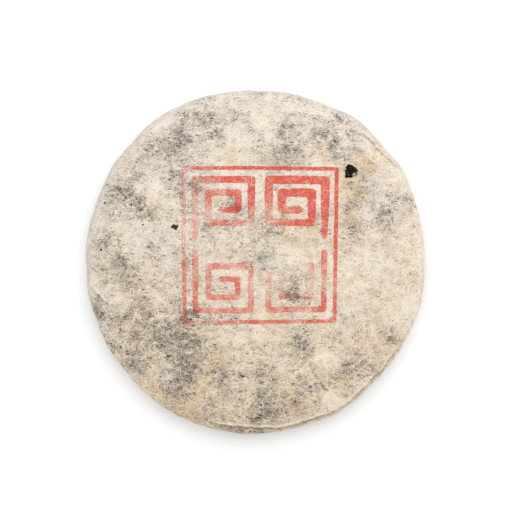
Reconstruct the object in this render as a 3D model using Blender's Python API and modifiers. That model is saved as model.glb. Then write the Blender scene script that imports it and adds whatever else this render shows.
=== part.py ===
"""A pu erh tea cake in its paper: a disc of pressed tea leaves, domed on top, and the thin
mulberry paper folded over it, gathered in pleats underneath and torn open at one small spot.

Metres, +Z up. The origin is on the table, under the middle of the cake, and +Y points to the
upper edge of the print. Surfaces start as turned profiles, and functions give them the relief
of the leaves under the paper, the uneven outline and the pleats.
"""

import math
import random

import bmesh
import bpy
from mathutils import Vector
from mathutils.bvhtree import BVHTree

# Driving dimensions, over the paper, with the height before the leaves' relief
CAKE_WIDTH = 0.2000
CAKE_LENGTH = 0.2035
CAKE_HEIGHT = 0.0250
WIDEST_HEIGHT = 0.0082
FOOT_RADIUS = 0.0880
HOLLOW_RADIUS = 0.0600
DISH_DEPTH = 0.0018
DIMPLE_RADIUS = 0.0290
DIMPLE_FLOOR_RADIUS = 0.0110
DIMPLE_DEPTH = 0.0078
KNOT_RADIUS = 0.0080
KNOT_DROP = 0.0018

# Layers: the sheet is drawn thicker than the real 0.15 mm, so that it stays one sound solid
PAPER_THICKNESS = 0.0004
TEA_DEPTH_ON_TOP = 0.0013
TEA_DEPTH_BELOW = 0.0020
TEA_RELIEF_SHARE = 0.25

# How the dome falls off to the rim, as powers of the radius and of the height
DOME_RADIUS_POWER = 2.4
DOME_HEIGHT_POWER = 2.2

# Uneven outline: (lobes round the cake, outward reach, direction of the first lobe in degrees)
OUTLINE_LOBES = ((3, 0.00065, 22.0), (4, 0.00022, 40.0), (5, 0.00030, -23.0))
# Places where the paper is drawn straight over the rim: (direction, half width, inset)
RIM_FLATS = (
    (46.0, 8.0, 0.0008),
    (137.0, 9.0, 0.0009),
    (184.0, 10.0, 0.0006),
    (236.0, 8.0, 0.0006),
    (303.0, 9.0, 0.0007),
    (341.0, 12.0, 0.0006),
)

# Leaves that press up under the paper
LEAF_SEED = 357
LEAF_RIDGES = 90
LEAF_LENGTH = (0.010, 0.026)
LEAF_WIDTH = (0.0022, 0.0046)
LEAF_HEIGHT = (0.00015, 0.00060)
RIDGE_FIELD_RADIUS = 0.097
RIDGE_START = 0.0005
RIDGE_FULL = 0.4 * CAKE_HEIGHT

# Pleats of the gathered paper
PLEATS = 24
PLEAT_SEED = 24
PLEAT_DEPTH = (0.0004, 0.0008)
PLEAT_INNER_RADIUS = 0.0140
PLEAT_OUTER_RADIUS = 0.0960

# The tear, centred this far right of and above the middle, and the reach of its ragged edge
# from that centre, going round from the right
TEAR_CENTRE = (0.0559, 0.0507)
TEAR_REACH = (
    0.0038, 0.0040, 0.0034, 0.0037, 0.0041, 0.0047, 0.0036, 0.0041,
    0.0033, 0.0040, 0.0045, 0.0052, 0.0040, 0.0036, 0.0041, 0.0037,
)
TEAR_FLOOR = 0.0120
TEAR_TOP = 0.0300

# Leaves in the tear: (offset right, offset up, direction in degrees, length, width)
TORN_LEAVES = (
    (-0.0016, 0.0012, 35.0, 0.0120, 0.0026),
    (0.0018, -0.0006, -52.0, 0.0110, 0.0024),
    (0.0004, -0.0026, 12.0, 0.0115, 0.0028),
    (0.0022, 0.0026, 78.0, 0.0095, 0.0022),
    (-0.0026, -0.0018, -70.0, 0.0100, 0.0024),
)
TORN_LEAF_THICKNESS = 0.0007
TORN_LEAF_WAVE = 0.00012
TORN_LEAF_RISE = 0.00005
TORN_LEAF_SPANS = 8
TORN_LEAF_WAVES = 9.0
TORN_LEAF_SHIFT = 20.0
TORN_LEAF_TAPER = 1.9
TORN_LEAF_TIP = 0.06

# Colour and roughness
PAPER_SURFACE = ((0.640, 0.545, 0.430), 0.85)
TEA_SURFACE = ((0.040, 0.027, 0.019), 0.62)

# Mesh: steps round the turned shapes and rings along their profiles
WRAP_STEPS = 4 * PLEATS
TEA_STEPS = 48
DOME_RING_POWER = 0.85
HOLLOW_RING_POWER = 1.2
SHARP_ANGLE = 50.0
WRAP_RINGS = {"dome": 13, "rim": 4, "foot": 2, "hollow": 6}
TEA_RINGS = {"dome": 8, "rim": 3, "foot": 1, "hollow": 3}


def clear_scene():
    for item in list(bpy.data.objects):
        bpy.data.objects.remove(item, do_unlink=True)


def new_collection(name):
    group = bpy.data.collections.new(name)
    bpy.context.scene.collection.children.link(group)
    return group


def surface_material(name, colour, roughness):
    material = bpy.data.materials.new(name)
    material.use_nodes = True
    shader = material.node_tree.nodes["Principled BSDF"]
    shader.inputs["Base Color"].default_value = (*colour, 1.0)
    shader.inputs["Roughness"].default_value = roughness
    shader.inputs["Metallic"].default_value = 0.0
    material.diffuse_color = (*colour, 1.0)
    return material


def smooth_step(value):
    value = min(max(value, 0.0), 1.0)
    return value * value * (3.0 - 2.0 * value)


def dome_height(radius, reach, height):
    """Height of the top above the widest line, where the dome is this wide and this high."""
    share = min(radius / reach, 1.0)
    return height * (1.0 - share**DOME_RADIUS_POWER) ** (1.0 / DOME_HEIGHT_POWER)


def hollow_height(radius):
    """Height of the underside inside its foot: a wide shallow dish, the dimple in it that the
    knot of the pressing cloth leaves, and the tucked ends of the paper in the dimple."""
    dish = DISH_DEPTH * smooth_step(1.0 - radius / HOLLOW_RADIUS)
    wall = (DIMPLE_RADIUS - radius) / (DIMPLE_RADIUS - DIMPLE_FLOOR_RADIUS)
    knot = KNOT_DROP * smooth_step(1.0 - radius / KNOT_RADIUS)
    return dish + DIMPLE_DEPTH * smooth_step(wall) - knot


def cake_profile(depth_top, depth_below, rings):
    """Points from the top of the axis, out over the rim and back to the axis underneath, this
    far inside the outside of the paper."""
    reach = 0.5 * CAKE_WIDTH - depth_top
    height = CAKE_HEIGHT - WIDEST_HEIGHT - depth_top
    points = [(0.0, 0.0, WIDEST_HEIGHT + height)]
    for i in range(1, rings["dome"] + 1):
        radius = reach * math.sin(0.5 * math.pi * i / rings["dome"]) ** DOME_RING_POWER
        points.append((radius, 0.0, WIDEST_HEIGHT + dome_height(radius, reach, height)))
    drop = WIDEST_HEIGHT - depth_below
    for i in range(1, rings["rim"] + 1):
        turn = 0.5 * math.pi * i / rings["rim"]
        across = FOOT_RADIUS + (reach - FOOT_RADIUS) * math.cos(turn)
        points.append((across, 0.0, WIDEST_HEIGHT - drop * math.sin(turn)))
    for i in range(1, rings["foot"] + 1):
        across = FOOT_RADIUS + (HOLLOW_RADIUS - FOOT_RADIUS) * i / rings["foot"]
        points.append((across, 0.0, depth_below))
    for i in range(1, rings["hollow"] + 1):
        across = HOLLOW_RADIUS * (1.0 - i / (rings["hollow"] + 1)) ** HOLLOW_RING_POWER
        points.append((across, 0.0, depth_below + hollow_height(across)))
    points.append((0.0, 0.0, depth_below + hollow_height(0.0)))
    return points


def turned_mesh(name, profile, steps):
    """A closed surface turned round Z, as a plain mesh."""
    line = bpy.data.meshes.new(name + "_profile")
    line.from_pydata(profile, [(i, i + 1) for i in range(len(profile) - 1)], [])
    holder = bpy.data.objects.new(name + "_profile", line)
    bpy.context.scene.collection.objects.link(holder)
    screw = holder.modifiers.new("turn", "SCREW")
    screw.steps = steps
    screw.render_steps = steps
    screw.use_merge_vertices = True
    screw.merge_threshold = 0.00001
    evaluated = holder.evaluated_get(bpy.context.evaluated_depsgraph_get())
    mesh = bpy.data.meshes.new_from_object(evaluated)
    mesh.name = name
    bpy.data.objects.remove(holder, do_unlink=True)
    return mesh


def outline_share(angle):
    """How far the cake reaches in this direction, as a share of half its width."""
    half = 0.5 * CAKE_WIDTH
    longer = 0.5 * (CAKE_LENGTH - CAKE_WIDTH) * math.sin(angle) ** 2
    reach = half + longer
    for lobes, extent, first in OUTLINE_LOBES:
        reach += extent * math.cos(lobes * (angle - math.radians(first)))
    for direction, half_width, inset in RIM_FLATS:
        off = math.remainder(angle - math.radians(direction), math.tau)
        reach -= inset * smooth_step(1.0 - abs(off) / math.radians(half_width))
    return reach / half


def leaf_ridges():
    """Where the leaves press up: (x, y, direction, length, width, height) of each."""
    draw = random.Random(LEAF_SEED)
    ridges = []
    for _ in range(LEAF_RIDGES):
        angle = draw.uniform(0.0, math.tau)
        radius = RIDGE_FIELD_RADIUS * math.sqrt(draw.random())
        ridges.append(
            (
                radius * math.cos(angle),
                radius * math.sin(angle),
                draw.uniform(0.0, math.pi),
                draw.uniform(*LEAF_LENGTH),
                draw.uniform(*LEAF_WIDTH),
                draw.uniform(*LEAF_HEIGHT),
            )
        )
    return ridges


def leaf_relief(x, y, ridges):
    """Rise of the paper over the leaves at this place on the dome."""
    rise = 0.0
    for at_x, at_y, direction, length, width, height in ridges:
        along = (x - at_x) * math.cos(direction) + (y - at_y) * math.sin(direction)
        across = (y - at_y) * math.cos(direction) - (x - at_x) * math.sin(direction)
        spread = (2.0 * along / length) ** 2 + (across / width) ** 2
        rise += height * math.exp(-spread)
    return rise


def pleat_rise(angle, radius, depths):
    """Rise of the groove between two pleats: every fourth step of the turned sheet is one."""
    place = (angle % math.tau) / math.tau * PLEATS
    in_groove = max(0.0, 1.0 - 4.0 * abs(place - math.floor(place) - 0.75))
    inner = smooth_step((radius - PLEAT_INNER_RADIUS) / PLEAT_INNER_RADIUS)
    outer = smooth_step((PLEAT_OUTER_RADIUS - radius) / (PLEAT_OUTER_RADIUS - FOOT_RADIUS))
    return depths[int(place) % PLEATS] * in_groove * inner * outer


def shape_cake(mesh, ridges, relief_share, pleat_depths):
    """Gives a turned surface the outline, the relief on top and, if asked, the pleats below."""
    for vertex in mesh.vertices:
        x, y, z = vertex.co
        angle = math.atan2(y, x)
        radius = math.hypot(x, y)
        wider = 1.0 + (outline_share(angle) - 1.0) * smooth_step(radius / FOOT_RADIUS)
        x *= wider
        y *= wider
        if z > WIDEST_HEIGHT + RIDGE_START:
            near_rim = smooth_step((z - WIDEST_HEIGHT) / RIDGE_FULL)
            z += relief_share * near_rim * leaf_relief(x, y, ridges)
        elif pleat_depths:
            z += pleat_rise(angle, radius, pleat_depths)
        vertex.co = (x, y, z)


def box_of(mesh):
    """The lowest and highest corner of a mesh."""
    low = [min(vertex.co[i] for vertex in mesh.vertices) for i in range(3)]
    high = [max(vertex.co[i] for vertex in mesh.vertices) for i in range(3)]
    return low, high


def fit_mesh(mesh, low, high):
    """Brings what lies in this box to the driving width and length, with the middle of the
    outline over the origin and the foot on the table."""
    wider = CAKE_WIDTH / (high[0] - low[0])
    longer = CAKE_LENGTH / (high[1] - low[1])
    for vertex in mesh.vertices:
        x = wider * (vertex.co.x - 0.5 * (low[0] + high[0]))
        y = longer * (vertex.co.y - 0.5 * (low[1] + high[1]))
        vertex.co = (x, y, vertex.co.z - low[2])


def tear_cutter(group):
    """A ragged upright prism, which opens the sheet at the tear and ends inside the tea."""
    solid = bmesh.new()
    count = len(TEAR_REACH)
    rim = []
    for i, reach in enumerate(TEAR_REACH):
        angle = math.tau * i / count
        place = (
            TEAR_CENTRE[0] + reach * math.cos(angle),
            TEAR_CENTRE[1] + reach * math.sin(angle),
            TEAR_FLOOR,
        )
        rim.append(solid.verts.new(place))
    floor = solid.faces.new(rim)
    walls = bmesh.ops.extrude_face_region(solid, geom=[floor])
    raised = [item for item in walls["geom"] if isinstance(item, bmesh.types.BMVert)]
    bmesh.ops.translate(solid, verts=raised, vec=(0.0, 0.0, TEAR_TOP - TEAR_FLOOR))
    bmesh.ops.recalc_face_normals(solid, faces=solid.faces)
    mesh = bpy.data.meshes.new("tear")
    solid.to_mesh(mesh)
    solid.free()
    cutter = bpy.data.objects.new("tear_cutter", mesh)
    cutter.hide_render = True
    cutter.display_type = "WIRE"
    group.objects.link(cutter)
    return cutter


def torn_leaf(name, spec, surface):
    """One twisted leaf at the tear: a pointed wavy blade, half sunk in the pressed tea."""
    right, up, direction, length, width = spec
    blade = bmesh.new()
    bmesh.ops.create_grid(blade, x_segments=TORN_LEAF_SPANS, y_segments=2, size=0.5)
    turn = math.radians(direction)
    for vertex in blade.verts:
        along, side = vertex.co.x, vertex.co.y
        taper = math.sqrt(max(TORN_LEAF_TIP, 1.0 - (TORN_LEAF_TAPER * along) ** 2))
        phase = TORN_LEAF_WAVES * along + TORN_LEAF_SHIFT * right / length
        wave = TORN_LEAF_WAVE * math.sin(phase)
        forward = along * length
        sideways = side * width * taper
        x = TEAR_CENTRE[0] + right + forward * math.cos(turn) - sideways * math.sin(turn)
        y = TEAR_CENTRE[1] + up + forward * math.sin(turn) + sideways * math.cos(turn)
        below = surface.ray_cast(Vector((x, y, TEAR_TOP)), Vector((0.0, 0.0, -1.0)))[0]
        vertex.co = (x, y, below.z + TORN_LEAF_RISE + wave)
    bmesh.ops.triangulate(blade, faces=blade.faces)
    sheet = bpy.data.meshes.new(name)
    blade.to_mesh(sheet)
    blade.free()
    leaf = bpy.data.objects.new(name, sheet)
    wall = leaf.modifiers.new("thickness", "SOLIDIFY")
    wall.thickness = TORN_LEAF_THICKNESS
    wall.offset = 0.0
    return leaf


def make_tea(group, ridges, low, high):
    """The pressed cake itself, with the leaves that show in the tear fused on."""
    profile = cake_profile(TEA_DEPTH_ON_TOP, TEA_DEPTH_BELOW, TEA_RINGS)
    mesh = turned_mesh("tea_cake", profile, TEA_STEPS)
    shape_cake(mesh, ridges, TEA_RELIEF_SHARE, None)
    fit_mesh(mesh, low, high)
    tea = bpy.data.objects.new("tea_cake", mesh)
    tea.data.materials.append(surface_material("pressed_tea", *TEA_SURFACE))
    group.objects.link(tea)
    surface = BVHTree.FromObject(tea, bpy.context.evaluated_depsgraph_get())
    loose = new_collection("leaves to fuse")
    for i, spec in enumerate(TORN_LEAVES):
        loose.objects.link(torn_leaf(f"leaf_{i}", spec, surface))
    fuse = tea.modifiers.new("fuse", "BOOLEAN")
    fuse.operation = "UNION"
    fuse.operand_type = "COLLECTION"
    fuse.collection = loose
    bpy.context.view_layer.update()
    evaluated = tea.evaluated_get(bpy.context.evaluated_depsgraph_get())
    fused = bpy.data.meshes.new_from_object(evaluated)
    tea.modifiers.clear()
    tea.data = fused
    for leaf in list(loose.objects):
        bpy.data.objects.remove(leaf, do_unlink=True)
    bpy.data.collections.remove(loose)
    tea.data.shade_smooth()
    tea.data.set_sharp_from_angle(angle=math.radians(SHARP_ANGLE))
    return tea


def make_wrap(group, mesh, cutter):
    """The sheet of paper round the cake: a thin wall with the tear cut through it."""
    wrap = bpy.data.objects.new("paper_wrap", mesh)
    wrap.data.materials.append(surface_material("mulberry_paper", *PAPER_SURFACE))
    group.objects.link(wrap)
    wall = wrap.modifiers.new("thickness", "SOLIDIFY")
    wall.thickness = PAPER_THICKNESS
    wall.offset = -1.0
    tear = wrap.modifiers.new("tear", "BOOLEAN")
    tear.operation = "DIFFERENCE"
    tear.solver = "EXACT"
    tear.object = cutter
    wrap.data.shade_smooth()
    wrap.data.set_sharp_from_angle(angle=math.radians(SHARP_ANGLE))
    return wrap


def build():
    clear_scene()
    parts = new_collection("pu erh tea cake")
    cutters = new_collection("cutters")
    ridges = leaf_ridges()
    draw = random.Random(PLEAT_SEED)
    pleat_depths = [draw.uniform(*PLEAT_DEPTH) for _ in range(PLEATS)]
    sheet = turned_mesh("paper_wrap", cake_profile(0.0, 0.0, WRAP_RINGS), WRAP_STEPS)
    shape_cake(sheet, ridges, 1.0, pleat_depths)
    low, high = box_of(sheet)
    fit_mesh(sheet, low, high)
    make_tea(parts, ridges, low, high)
    make_wrap(parts, sheet, tear_cutter(cutters))


build()
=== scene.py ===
import math
import random

import bmesh
import bpy
import numpy as np
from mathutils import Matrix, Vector


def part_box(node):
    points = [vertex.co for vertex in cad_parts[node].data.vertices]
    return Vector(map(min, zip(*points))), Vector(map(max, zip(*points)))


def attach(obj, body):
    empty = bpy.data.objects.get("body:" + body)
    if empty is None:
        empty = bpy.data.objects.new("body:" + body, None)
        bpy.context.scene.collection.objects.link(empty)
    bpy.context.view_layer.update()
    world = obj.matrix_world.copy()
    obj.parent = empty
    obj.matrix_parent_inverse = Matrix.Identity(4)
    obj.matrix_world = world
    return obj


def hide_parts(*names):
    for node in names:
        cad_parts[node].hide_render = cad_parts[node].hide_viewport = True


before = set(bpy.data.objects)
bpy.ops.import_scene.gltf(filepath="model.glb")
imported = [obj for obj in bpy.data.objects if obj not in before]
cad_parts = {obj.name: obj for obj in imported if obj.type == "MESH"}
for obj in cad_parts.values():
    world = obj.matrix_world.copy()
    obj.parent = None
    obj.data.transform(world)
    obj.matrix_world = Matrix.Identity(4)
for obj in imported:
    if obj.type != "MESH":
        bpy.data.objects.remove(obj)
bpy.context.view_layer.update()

# The pressed tea
# A disc of dark twisted leaves, steamed and pressed hard in a cloth bag. It is the CAD node as
# it stands, and only the tear in the paper shows it, so it gets its finish and nothing else.


def shader_node(tree, kind, sockets=None, **settings):
    """Adds a node: settings are its own properties, sockets its inputs by name or number."""
    made = tree.nodes.new("ShaderNode" + kind)
    for key, value in settings.items():
        setattr(made, key, value)
    for key, value in (sockets or {}).items():
        if isinstance(value, bpy.types.NodeSocket):
            tree.links.new(value, made.inputs[key])
        else:
            made.inputs[key].default_value = value
    return made


def sums(tree, first, second, operation="ADD"):
    return shader_node(tree, "Math", {0: first, 1: second}, operation=operation).outputs[0]


def eased(tree, value, start, end, low=0.0, high=1.0):
    """A value that goes smoothly from low to high as the input goes from start to end."""
    sockets = {"Value": value, "From Min": start, "From Max": end, "To Min": low, "To Max": high}
    return shader_node(tree, "MapRange", sockets, interpolation_type="SMOOTHSTEP").outputs[0]


def layered(tree, share, under, over):
    """One colour laid over another, with this share of the upper one."""
    made = shader_node(tree, "Mix", {0: share}, data_type="RGBA")
    for socket, value in ((6, under), (7, over)):
        if isinstance(value, bpy.types.NodeSocket):
            tree.links.new(value, made.inputs[socket])
        else:
            made.inputs[socket].default_value = (*value, 1.0)
    return made.outputs[2]


def grain(tree, size, detail=2.0, distortion=0.0, shift=0.0, drawn=1.0):
    """Noise from 0 to 1 whose lumps are about this many metres across, some drawn out along X."""
    place = shader_node(tree, "TexCoord").outputs["Object"]
    sockets = {0: place, "Location": (shift,) * 3, "Scale": (1.0 / drawn, drawn, 1.0)}
    moved = shader_node(tree, "Mapping", sockets)
    sockets = {"Vector": moved.outputs[0], "Scale": 1.0 / size, "Detail": detail}
    sockets["Distortion"] = distortion
    return shader_node(tree, "TexNoise", sockets).outputs["Fac"]


def new_finish(name, roughness, specular):
    """A new material with the two numbers set on its shader, its tree and that shader."""
    material = bpy.data.materials.new(name)
    material.use_nodes = True
    shader = material.node_tree.nodes["Principled BSDF"]
    shader.inputs["Roughness"].default_value = roughness
    shader.inputs["Specular IOR Level"].default_value = specular
    return material, material.node_tree, shader


def set_relief(tree, shader, height, distance, strength):
    sockets = {"Strength": strength, "Distance": distance, "Height": height}
    bump = shader_node(tree, "Bump", sockets)
    tree.links.new(bump.outputs[0], shader.inputs["Normal"])


def dry_leaf_finish(name):
    """Dry fermented leaf: black brown with paler ribs, which also stand in as painted glints, and a
    weak waxy gloss.
    """
    material, tree, shader = new_finish(name, 0.45, 0.10)
    patch = eased(tree, grain(tree, 0.0030, 3.0, 0.4), 0.35, 0.75)
    colour = layered(tree, patch, (0.0022, 0.0015, 0.0011), (0.0120, 0.0070, 0.0040))
    # Paler ribs, also painted highlight: they give the small glints on the leaves
    rib_and_glint = eased(tree, grain(tree, 0.0009, 2.0, 1.2, 0.3), 0.60, 0.70)
    colour = layered(tree, rib_and_glint, colour, (0.150, 0.105, 0.070))
    tree.links.new(colour, shader.inputs["Base Color"])
    height = sums(tree, grain(tree, 0.0009, 3.0, 0.8), patch)
    set_relief(tree, shader, height, 0.0003, 0.6)
    return material


leaf_finish = dry_leaf_finish("dry_pressed_leaf")
tea_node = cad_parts["tea_cake"]
tea_node.data.materials.clear()
tea_node.data.materials.append(leaf_finish)

# The leaves in the tear
# Twisted leaves and stalks that lie where the paper is torn, pressed in every direction. Each
# is a short rod, flattened, tapered and bent, and all of them are one mesh.

TEAR_CENTRE = (0.0559, 0.0507)
TEAR_LEAVES = 54
TEAR_SPREAD = 0.0021
LEAF_SIDES = 6
LEAF_CUTS = 7
LEAF_LENGTHS = (0.0040, 0.0085)
LEAF_GIRTHS = (0.00028, 0.00060)
TOP_SLOPE = 0.075
RAY_HEIGHT = 0.05
leaf_draw = np.random.default_rng(11)


def joined_copies(name, template, placed, finish):
    """One mesh from copies of a small bmesh, whose points are given for each copy."""
    shape = bpy.data.meshes.new(name)
    template.to_mesh(shape)
    whole = bmesh.new()
    for _ in placed:
        whole.from_mesh(shape)
    mesh = bpy.data.meshes.new(name)
    whole.to_mesh(mesh)
    whole.free()
    bpy.data.meshes.remove(shape)
    mesh.vertices.foreach_set("co", np.asarray(placed, dtype=np.float32).ravel())
    return shown(name, mesh, finish)


def shown(name, mesh, finish):
    """A piece at the origin from its mesh, shaded smooth."""
    mesh.materials.append(finish)
    mesh.shade_smooth()
    mesh.update()
    piece = bpy.data.objects.new(name, mesh)
    bpy.context.scene.collection.objects.link(piece)
    return piece


def rod_template(sides, cuts):
    """A rod one unit in radius and one long on X, with rings of points along it."""
    rod = bmesh.new()
    bmesh.ops.create_cone(rod, cap_ends=True, segments=sides, radius1=1.0, radius2=1.0, depth=1.0)
    long_edges = [edge for edge in rod.edges if abs(edge.verts[0].co.z - edge.verts[1].co.z) > 0.5]
    bmesh.ops.subdivide_edges(rod, edges=long_edges, cuts=cuts)
    for point in rod.verts:
        point.co = (point.co.z, point.co.x, point.co.y)
    bmesh.ops.recalc_face_normals(rod, faces=rod.faces)
    return rod


def tea_top(x, y):
    """Height of the pressed tea at a place near the tear."""
    _, place, _, _ = tea_node.ray_cast(Vector((x, y, RAY_HEIGHT)), Vector((0.0, 0.0, -1.0)))
    return place.z


def tear_leaf(rod, draw):
    """The points of one leaf that lies on the tea somewhere in the tear."""
    length = draw.uniform(*LEAF_LENGTHS)
    girth = draw.uniform(*LEAF_GIRTHS)
    heading = draw.uniform(0.0, math.pi)
    bend = draw.uniform(-1.0, 1.0)
    x = TEAR_CENTRE[0] + draw.normal(0.0, TEAR_SPREAD)
    y = TEAR_CENTRE[1] + draw.normal(0.0, TEAR_SPREAD)
    lift = draw.uniform(0.0, 0.00035)
    along = rod[:, 0]
    turn = heading + bend * along
    taper = girth * np.sqrt(np.clip(1.0 - (1.9 * along) ** 2, 0.04, 1.0))
    twist = np.arctan2(rod[:, 2], rod[:, 1]) + 2.5 * along
    reach = taper * (1.0 + 0.35 * np.cos(2.0 * twist + heading))
    side = reach * np.cos(twist)
    place_x = x + length * along * np.cos(turn) - side * np.sin(turn)
    place_y = y + length * along * np.sin(turn) + side * np.cos(turn)
    ground = tea_top(x, y) + 0.0002 + lift - TOP_SLOPE * (place_x - x) - TOP_SLOPE * (place_y - y)
    return np.column_stack((place_x, place_y, ground + 0.7 * reach * np.sin(twist)))


leaf_rod = rod_template(LEAF_SIDES, LEAF_CUTS)
rod_points = np.array([point.co for point in leaf_rod.verts])
tear_leaves = [tear_leaf(rod_points, leaf_draw) for _ in range(TEAR_LEAVES)]
leaves = joined_copies("leaves_in_tear", leaf_rod, tear_leaves, leaf_finish)
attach(leaves, "root")

# The sheet of paper
# Handmade mulberry paper drawn tight over the dome and gathered in pleats underneath. It starts
# as a cube cut into a fine grid and blown up to a ball, whose points are then laid on the cake.

MM = 0.001
SHEET_CELLS = 109
WIDEST_HEIGHT = 0.0082
CROWN_HEIGHT = 0.0250
FOOT_RADIUS = 0.0880
HOLLOW_RADIUS = 0.0600
DISH_DEPTH = 0.0018
DIMPLE_RADIUS = 0.0290
DIMPLE_FLOOR_RADIUS = 0.0110
DIMPLE_DEPTH = 0.0078
KNOT_RADIUS = 0.0080
KNOT_DROP = 0.0018
DOME_RADIUS_POWER = 2.4
DOME_HEIGHT_POWER = 2.2
RIM_SHARE = 0.16
OUTLINE_LOBES = ((3, 0.00065, 22.0), (4, 0.00022, 40.0), (5, 0.00030, -23.0))
# Where the edge of the paper is flatter or fuller: direction, spread and how far in
RIM_FLATS = (
    (30.0, 10.0, -0.0010),
    (53.0, 13.0, -0.0016),
    (70.0, 12.0, -0.0005),
    (80.0, 8.0, -0.0009),
    (137.0, 9.0, 0.0012),
    (158.0, 22.0, 0.0011),
    (182.0, 12.0, 0.0006),
    (202.0, 9.0, 0.0008),
    (240.0, 20.0, -0.0006),
    (300.0, 13.0, -0.0014),
    (344.0, 16.0, -0.0008),
)
# The shoulder where the top turns down into the side wall: direction, and share of the reach
SHOULDER = (
    (236.0, 0.957), (255.0, 0.950), (268.0, 0.946), (279.0, 0.962), (300.0, 0.962), (330.0, 0.966),
    (352.0, 0.982),
)
PLEATS = 24
PLEAT_PLACE = 0.75
PLEAT_END = 0.0960
PLEAT_FADE = 0.0080
# Folds in the sheet: start and end in millimetres, how far they stand up, half their width, and
# how strong the tan painted shade on their shaded side is
CREASES = (
    (65.3, 75.4, 72.2, 68.1, 0.50, 1.0, 1.4),
    (70.9, 67.7, 78.0, 61.8, 0.50, 1.0, 1.5),
    (78.0, 61.8, 83.6, 55.9, 0.40, 1.0, 1.2),
    (-96.4, -15.2, -86.4, -25.5, 0.60, 0.9, 0.5),
    (-66.4, 64.5, -58.6, 67.8, -0.40, 0.7, 0.5),
    (-21.4, -51.2, -13.1, -47.4, 0.35, 0.7, 0.3),
    (-44.9, -40.7, -36.9, -44.1, 0.30, 0.7, 0.3),
    (-60.2, -47.1, -51.4, -48.3, -0.30, 0.7, 0.5),
    (33.9, -65.1, 42.5, -76.2, 0.45, 0.9, 0.5),
    (63.5, 14.5, 71.8, 17.4, 0.25, 0.7, 0.2),
    (-38.1, -71.9, -29.2, -68.5, 0.25, 0.7, 0.2),
)

box_low, box_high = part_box("paper_wrap")
half_width = 0.5 * (box_high.x - box_low.x)
half_length = 0.5 * (box_high.y - box_low.y)


def smooth(value):
    value = np.clip(value, 0.0, 1.0)
    return value * value * (3.0 - 2.0 * value)


def field(x, y, size, seed):
    """Even noise about zero, mostly within one, whose lumps are about this many metres across."""
    turns = np.random.default_rng(seed).uniform(0.0, math.tau, (256, 256))
    u = x / size + 4096.0
    v = y / size + 4096.0
    column = np.floor(u).astype(int)
    row = np.floor(v).astype(int)
    u = u - column
    v = v - row
    ease_u = u * u * u * (u * (u * 6.0 - 15.0) + 10.0)
    ease_v = v * v * v * (v * (v * 6.0 - 15.0) + 10.0)
    total = 0.0
    for right, share_u in ((0, 1.0 - ease_u), (1, ease_u)):
        for up, share_v in ((0, 1.0 - ease_v), (1, ease_v)):
            turn = turns[(column + right) % 256, (row + up) % 256]
            slope = np.cos(turn) * (u - right) + np.sin(turn) * (v - up)
            total = total + share_u * share_v * slope
    return 1.6 * total


def outline_share(angle):
    """How far the cake reaches in each direction, as a share of half its width."""
    reach = half_width + (half_length - half_width) * np.sin(angle) ** 2
    for lobes, extent, first in OUTLINE_LOBES:
        reach = reach + extent * np.cos(lobes * (angle - math.radians(first)))
    for direction, spread, inset in RIM_FLATS:
        off = np.abs((angle - math.radians(direction) + math.pi) % math.tau - math.pi)
        reach = reach - inset * smooth(1.0 - off / math.radians(spread))
    return reach / half_width


def sheet_profile(down):
    """Radius and height at each turn down from the crown, from 0 on the crown to pi below."""
    share = np.clip(down / (0.5 * math.pi), 0.0, 1.0)
    radius = half_width * np.sin(0.5 * math.pi * share) ** 0.85
    fall = np.clip(1.0 - (radius / half_width) ** DOME_RADIUS_POWER, 0.0, 1.0)
    height = WIDEST_HEIGHT + (CROWN_HEIGHT - WIDEST_HEIGHT) * fall ** (1.0 / DOME_HEIGHT_POWER)
    below = np.clip((down - 0.5 * math.pi) / (0.5 * math.pi), 0.0, 1.0)
    turn = 0.5 * math.pi * np.clip(below / RIM_SHARE, 0.0, 1.0)
    rim_radius = FOOT_RADIUS + (half_width - FOOT_RADIUS) * np.cos(turn)
    rim_height = WIDEST_HEIGHT * (1.0 - np.sin(turn))
    under_radius = FOOT_RADIUS * (1.0 - np.clip((below - RIM_SHARE) / (1.0 - RIM_SHARE), 0.0, 1.0))
    wall = (DIMPLE_RADIUS - under_radius) / (DIMPLE_RADIUS - DIMPLE_FLOOR_RADIUS)
    under_height = DISH_DEPTH * smooth(1.0 - under_radius / HOLLOW_RADIUS)
    under_height = under_height + DIMPLE_DEPTH * smooth(wall)
    under_height = under_height - KNOT_DROP * smooth(1.0 - under_radius / KNOT_RADIUS)
    on_top = down <= 0.5 * math.pi
    on_rim = below <= RIM_SHARE
    radius = np.where(on_top, radius, np.where(on_rim, rim_radius, under_radius))
    height = np.where(on_top, height, np.where(on_rim, rim_height, under_height))
    return radius, height


def leaf_ridges():
    """The larger leaves that press up under the paper, the same ones as in the solid."""
    draw = random.Random(357)
    ridges = []
    for _ in range(90):
        angle = draw.uniform(0.0, math.tau)
        radius = 0.097 * math.sqrt(draw.random())
        direction = draw.uniform(0.0, math.pi)
        length = draw.uniform(0.010, 0.026)
        width = draw.uniform(0.0022, 0.0046)
        height = draw.uniform(0.00015, 0.00060)
        middle = (radius * math.cos(angle), radius * math.sin(angle))
        ridges.append((*middle, direction, length, width, height))
    return ridges


def leaf_relief(x, y, ridges):
    total = np.zeros_like(x)
    for middle_x, middle_y, direction, length, width, height in ridges:
        along = (x - middle_x) * math.cos(direction) + (y - middle_y) * math.sin(direction)
        across = (y - middle_y) * math.cos(direction) - (x - middle_x) * math.sin(direction)
        total += height * np.exp(-((2.0 * along / length) ** 2 + (across / width) ** 2))
    return total


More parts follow.
